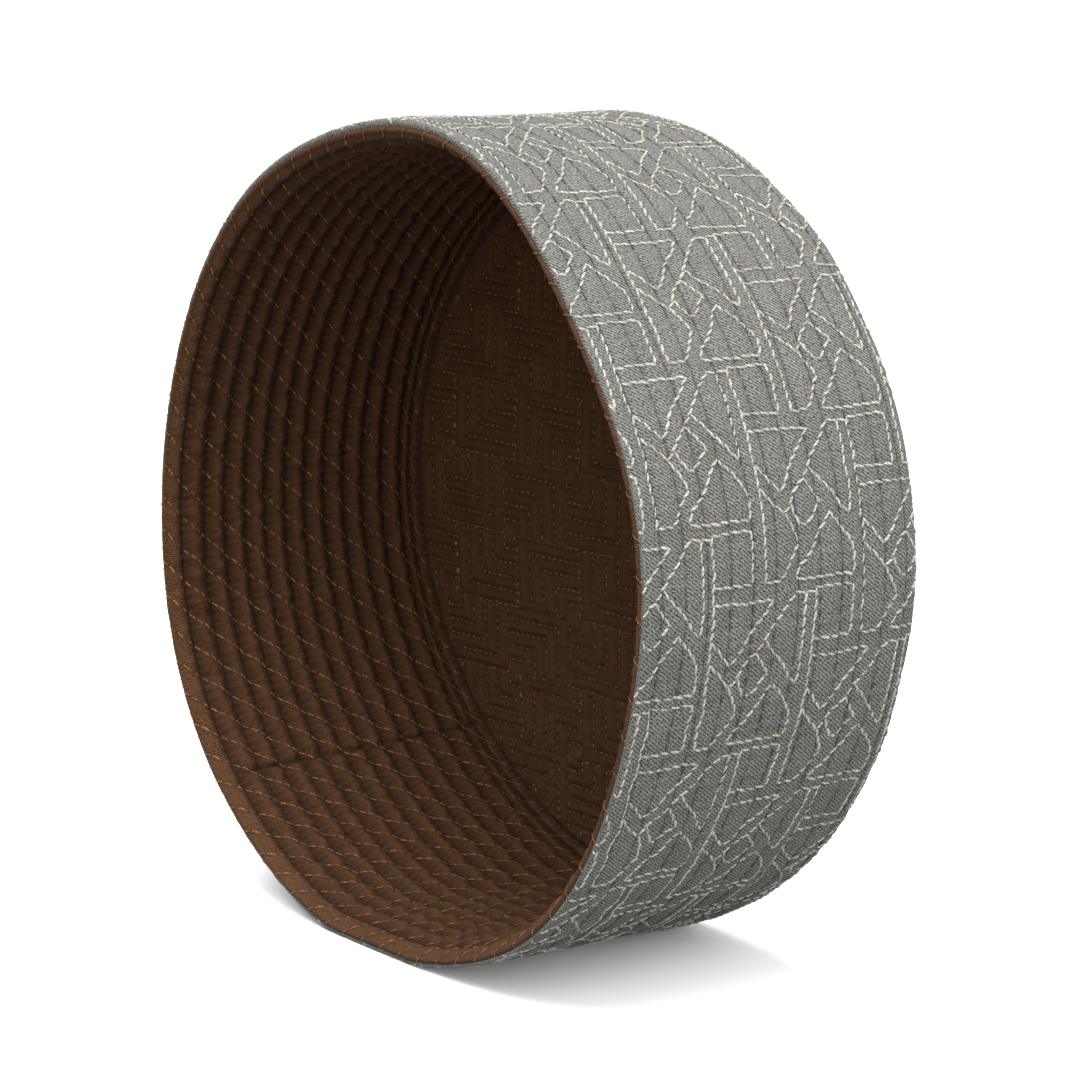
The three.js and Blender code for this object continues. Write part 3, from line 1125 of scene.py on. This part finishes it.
def edge_stitches():
    """Ochre rows where they run on over the folded edge."""
    over = EDGE_TURN - 0.1 - EDGE_ROUND * OVER_STITCH * np.arange(OVER_COUNT + 1)
    dashes = np.concatenate([EDGE_REACH - np.array(STRIP_STITCHES), list(zip(over[:-1], over[1:]))])
    stitches = []
    for row in range(bpy.context.scene.cap_lining.row_count):
        around = edge_row_angle(row, dashes) * LINING_RADIUS
        stitches += list(np.stack([dashes, around], -1))
    across = (size("ochre_width") * OVER_WIDTH, 0.0)
    name = "edge_stitches"
    stitch_piece(name, stitches, *across, lay_on_edge, *EDGE_OCHRE, 59, slant=0.15, sides=6)


def crown_stitches(pitch):
    """Stitches of the nested corners, block by block, that lie inside the crown seam."""
    found = []
    for column in range(-1, 8):
        for row in range(-6, 7):
            side_x, side_z = BLOCK_CORNERS[row % 2][column % 2]
            left = BLOCK_START[0] + BLOCK_SHIFTS[row % 2] + column * BLOCK_WIDTH
            top = BLOCK_START[1] - row * BLOCK_HEIGHT
            for line in range(CORNER_LINES):
                across, down = line * CORNER_PITCH[0], line * CORNER_PITCH[1]
                route = []
                for u, v in ((BLOCK_WIDTH, down), (across, down), (across, BLOCK_HEIGHT)):
                    x = left + (BLOCK_WIDTH - u if side_x > 0 else u)
                    route.append((x, top - (v if side_z > 0 else BLOCK_HEIGHT - v)))
                found += stitches_along(route, pitch)
    return [ends for ends in found if np.hypot(*sum(ends) / 2) < SEAM_RADIUS - CROWN_END]


def crown_thread():
    """Ochre stitches on the crown's lining and grey ones on its outside."""
    pitch = size("ochre_pitch")
    across = (size("ochre_width"), pitch * CROWN_GAP)
    stitches = crown_stitches(pitch)
    stitch_piece("crown_rows", stitches, *across, lay_in_crown, *OCHRE, 61, slant=0.15, sides=4)
    pitch = size("quilting_pitch")
    across = (size("quilting_width"), pitch * QUILTING_GAP)
    stitches = crown_stitches(pitch)
    stitch_piece("crown_quilting", stitches, *across, lay_on_crown, *GREY, 67, slant=0.1, sides=4)


# Stage

CAMERA_AZIMUTH = math.radians(54.726)
CAMERA_ELEVATION = math.radians(8.379)
CAMERA_DISTANCE = 0.69585
CAMERA_LENS = 104.77
CAMERA_SENSOR = 36
CAMERA_AIM = (0.0023, 0.0059, 0.0873)
WORLD_STRENGTH = 0.25
SEEN_WORLD_STRENGTH = 1.05  # bright enough that the camera sees plain white
FLOOR_REACH = 4.0
FLOOR_DROP = 0.0002  # keeps the floor just clear of the cap
# Strength of each soft light, its spread in degrees, and where it shines from
SOFTBOXES = {
    "softbox_above": (2.4, 60, (-0.04, -0.22, 1.0)),
    "softbox_right": (2.5, 95, (0.98, -0.2, 0.36)),
}


def studio_camera():
    """The camera at the photograph's viewing angle."""
    level = math.cos(CAMERA_ELEVATION)
    x, y = math.sin(CAMERA_AZIMUTH) * level, -math.cos(CAMERA_AZIMUTH) * level
    towards = Vector((x, y, math.sin(CAMERA_ELEVATION)))
    data = bpy.data.cameras.new("studio_camera")
    data.lens = CAMERA_LENS
    data.sensor_width = CAMERA_SENSOR
    data.clip_start = 0.01
    camera = add_object("studio_camera", data)
    camera.location = Vector(CAMERA_AIM) + towards * CAMERA_DISTANCE
    camera.rotation_mode = "QUATERNION"
    camera.rotation_quaternion = (-towards).to_track_quat("-Z", "Y")
    bpy.context.scene.camera = camera


def soft_lights():
    """Wide soft lights from above and from the right."""
    for name, (strength, spread, direction) in SOFTBOXES.items():
        data = bpy.data.lights.new(name, "SUN")
        data.energy = strength
        data.angle = math.radians(spread)
        lamp = add_object(name, data)
        lamp.rotation_mode = "QUATERNION"
        lamp.rotation_quaternion = Vector(direction).to_track_quat("Z", "Y")


def studio_floor():
    """A white floor, large enough to fill the view."""
    mesh = bpy.data.meshes.new("studio_floor")
    signs = ((-1, -1), (1, -1), (1, 1), (-1, 1))
    mesh.from_pydata([(x * FLOOR_REACH, y * FLOOR_REACH, 0) for x, y in signs], [], [(0, 1, 2, 3)])
    mesh.materials.append(material(white_studio_paper))
    floor = add_object("studio_floor", mesh)
    floor.location.z = -FLOOR_DROP


def studio_world():
    """An even white surround."""
    world = bpy.data.worlds.new("studio_surround")
    world.use_nodes = True
    tree = world.node_tree
    tree.nodes.clear()
    inputs = {"Color": WHITE, "Strength": SEEN_WORLD_STRENGTH}
    seen = add_node(tree, "Background", inputs), "Background"
    inputs = {"Color": WHITE, "Strength": WORLD_STRENGTH}
    lit = add_node(tree, "Background", inputs), "Background"
    camera_sees(tree, seen, lit, "OutputWorld")
    bpy.context.scene.world = world


def length(name, description, millimetres):
    """A length property with its default in millimetres."""
    default = millimetres * MM
    return FloatProperty(
        name=name, description=description, default=default, unit="LENGTH", precision=5
    )


def colour(name, description, hex_colour):
    """A colour property with its default as an sRGB hex value."""
    default = linear(hex_colour)[:3]
    return FloatVectorProperty(
        name=name, description=description, default=default, subtype="COLOR", min=0.0, max=1.0
    )


class CapCloth(bpy.types.PropertyGroup):
    """Sizes of the outer cloth's quilting."""

    puff_height: length("Puff height", "Rise of the cloth between two lines", 0.3)
    furrow_depth: length("Furrow depth", "Dip of the cloth at a line", 0.1)
    furrow_width: length("Furrow width", "Half width of the dip", 0.32)
    waviness: length("Waviness", "Slow unevenness of the band", 0.22)
    embroidery_pull: length("Embroidery pull", "Dip of the cloth at the embroidery", 0.22)


class CapLining(bpy.types.PropertyGroup):
    """Sizes of the lining's ribs and slanted rows."""

    rib_height: length("Rib height", "Rise of a rib over its lines", 1.9)
    row_count: IntProperty(
        name="Rows", description="Slanted rows of stitches round the cap", default=74, min=12
    )
    row_slope: FloatProperty(
        name="Row slope", description="Length round the cap for each length along it", default=0.88
    )
    row_pinch: FloatProperty(
        name="Row pinch",
        description="Share of a rib's height that a row takes away",
        default=0.55,
        subtype="FACTOR",
        min=0.0,
        max=1.0,
    )


class CapThreads(bpy.types.PropertyGroup):
    """Sizes of the stitches."""

    cream_width: length("Cream width", "Width of the embroidery thread", 0.64)
    cream_pitch: length("Cream pitch", "Length of an embroidery stitch", 2.25)
    cream_gap: length("Cream gap", "Gap between two embroidery stitches", 0.04)
    quilting_width: length("Quilting width", "Width of the quilting thread", 0.34)
    quilting_pitch: length("Quilting pitch", "Length of a quilting stitch", 2.9)
    ochre_width: length("Ochre width", "Width of the lining's thread", 0.4)
    ochre_pitch: length("Ochre pitch", "Length of a stitch in the lining", 2.1)


class CapColours(bpy.types.PropertyGroup):
    """Colours of the cloths, threads and floor."""

    cloth_light: colour("Cloth light", "Raised yarn of the outer twill", "#abaca5")
    cloth_dark: colour("Cloth dark", "Gaps of the outer twill", "#3a3b37")
    lining_light: colour("Lining light", "Raised yarn of the lining", "#714d32")
    lining_dark: colour("Lining dark", "Gaps of the lining", "#5c3c24")
    edge_light: colour("Edge light", "Raised yarn of the folded edge", "#805a3c")
    edge_dark: colour("Edge dark", "Gaps of the folded edge", "#402819")
    # Each thread's bright and dull colours span a painted sheen on its own colour; every stitch takes
    # a colour between them at random
    cream_light: colour("Cream light", "Bright embroidery stitches", "#f0ede1")
    cream_dark: colour("Cream dark", "Dull embroidery stitches", "#cdc3b0")
    ochre_light: colour("Ochre light", "Bright stitches in the lining", "#b97b35")
    ochre_dark: colour("Ochre dark", "Dull stitches in the lining", "#7a5226")
    quilting_light: colour("Quilting light", "Bright quilting stitches", "#888b85")
    quilting_dark: colour("Quilting dark", "Dull quilting stitches", "#60635e")
    floor: colour("Floor", "The studio floor", "#8e8e8e")


class CapOuterCloth(bpy.types.Operator):
    """Make the outer band and crown of grey twill."""

    bl_idname = "prayer_cap.outer_cloth"
    bl_label = "Outer Cloth"

    def execute(self, context):
        band_cloth()
        crown_cloth()
        return {"FINISHED"}


class CapQuiltedLining(bpy.types.Operator):
    """Make the ribbed lining of the band and the lining of the crown."""

    bl_idname = "prayer_cap.quilted_lining"
    bl_label = "Quilted Lining"

    def execute(self, context):
        band_lining_quilt()
        crown_lining_quilt()
        return {"FINISHED"}


class CapBoundEdge(bpy.types.Operator):
    """Make the folded edge round the opening and the stitches over it."""

    bl_idname = "prayer_cap.bound_edge"
    bl_label = "Bound Edge"

    def execute(self, context):
        bound_edge()
        edge_stitches()
        return {"FINISHED"}


class CapEmbroidery(bpy.types.Operator):
    """Embroider the outer band in cream thread."""

    bl_idname = "prayer_cap.embroidery"
    bl_label = "Embroidery"

    def execute(self, context):
        embroidery()
        return {"FINISHED"}


class CapQuiltingThread(bpy.types.Operator):
    """Stitch the quilting lines of the band and crown."""

    bl_idname = "prayer_cap.quilting_thread"
    bl_label = "Quilting Thread"

    def execute(self, context):
        quilting_thread()
        lining_rows()
        crown_thread()
        return {"FINISHED"}


class CapStage(bpy.types.Operator):
    """Set up the floor, the soft lights and the camera."""

    bl_idname = "prayer_cap.stage"
    bl_label = "Stage"

    def execute(self, context):
        studio_floor()
        studio_world()
        soft_lights()
        studio_camera()
        context.scene.view_settings.view_transform = "Standard"
        return {"FINISHED"}


OPERATORS = (
    CapOuterCloth,
    CapQuiltedLining,
    CapBoundEdge,
    CapEmbroidery,
    CapQuiltingThread,
    CapStage,
)

PROPERTY_GROUPS = {
    "cap_cloth": CapCloth,
    "cap_lining": CapLining,
    "cap_threads": CapThreads,
    "cap_colours": CapColours,
}


class CapPanel(bpy.types.Panel):
    """The cap's sizes, colours and steps."""

    bl_idname = "VIEW3D_PT_prayer_cap"
    bl_label = "Prayer Cap"
    bl_space_type = "VIEW_3D"
    bl_region_type = "UI"
    bl_category = "Prayer Cap"

    def draw(self, context):
        for operator in OPERATORS:
            self.layout.operator(operator.bl_idname)
        for name, group in PROPERTY_GROUPS.items():
            box = self.layout.box()
            for field in group.__annotations__:
                box.prop(getattr(context.scene, name), field)


def register():
    """Registers the sizes, colours, operators and panel."""
    for name, group in PROPERTY_GROUPS.items():
        bpy.utils.register_class(group)
        setattr(bpy.types.Scene, name, PointerProperty(type=group))
    for operator in OPERATORS:
        bpy.utils.register_class(operator)
    bpy.utils.register_class(CapPanel)


def unregister():
    """Takes them out again."""
    bpy.utils.unregister_class(CapPanel)
    for operator in reversed(OPERATORS):
        bpy.utils.unregister_class(operator)
    for name, group in PROPERTY_GROUPS.items():
        delattr(bpy.types.Scene, name)
        bpy.utils.unregister_class(group)


def main():
    """Makes the cap and its stage."""
    register()
    bpy.ops.prayer_cap.stage()
    bpy.ops.prayer_cap.outer_cloth()
    bpy.ops.prayer_cap.quilted_lining()
    bpy.ops.prayer_cap.bound_edge()
    bpy.ops.prayer_cap.embroidery()
    bpy.ops.prayer_cap.quilting_thread()


if __name__ == "__main__":
    main()
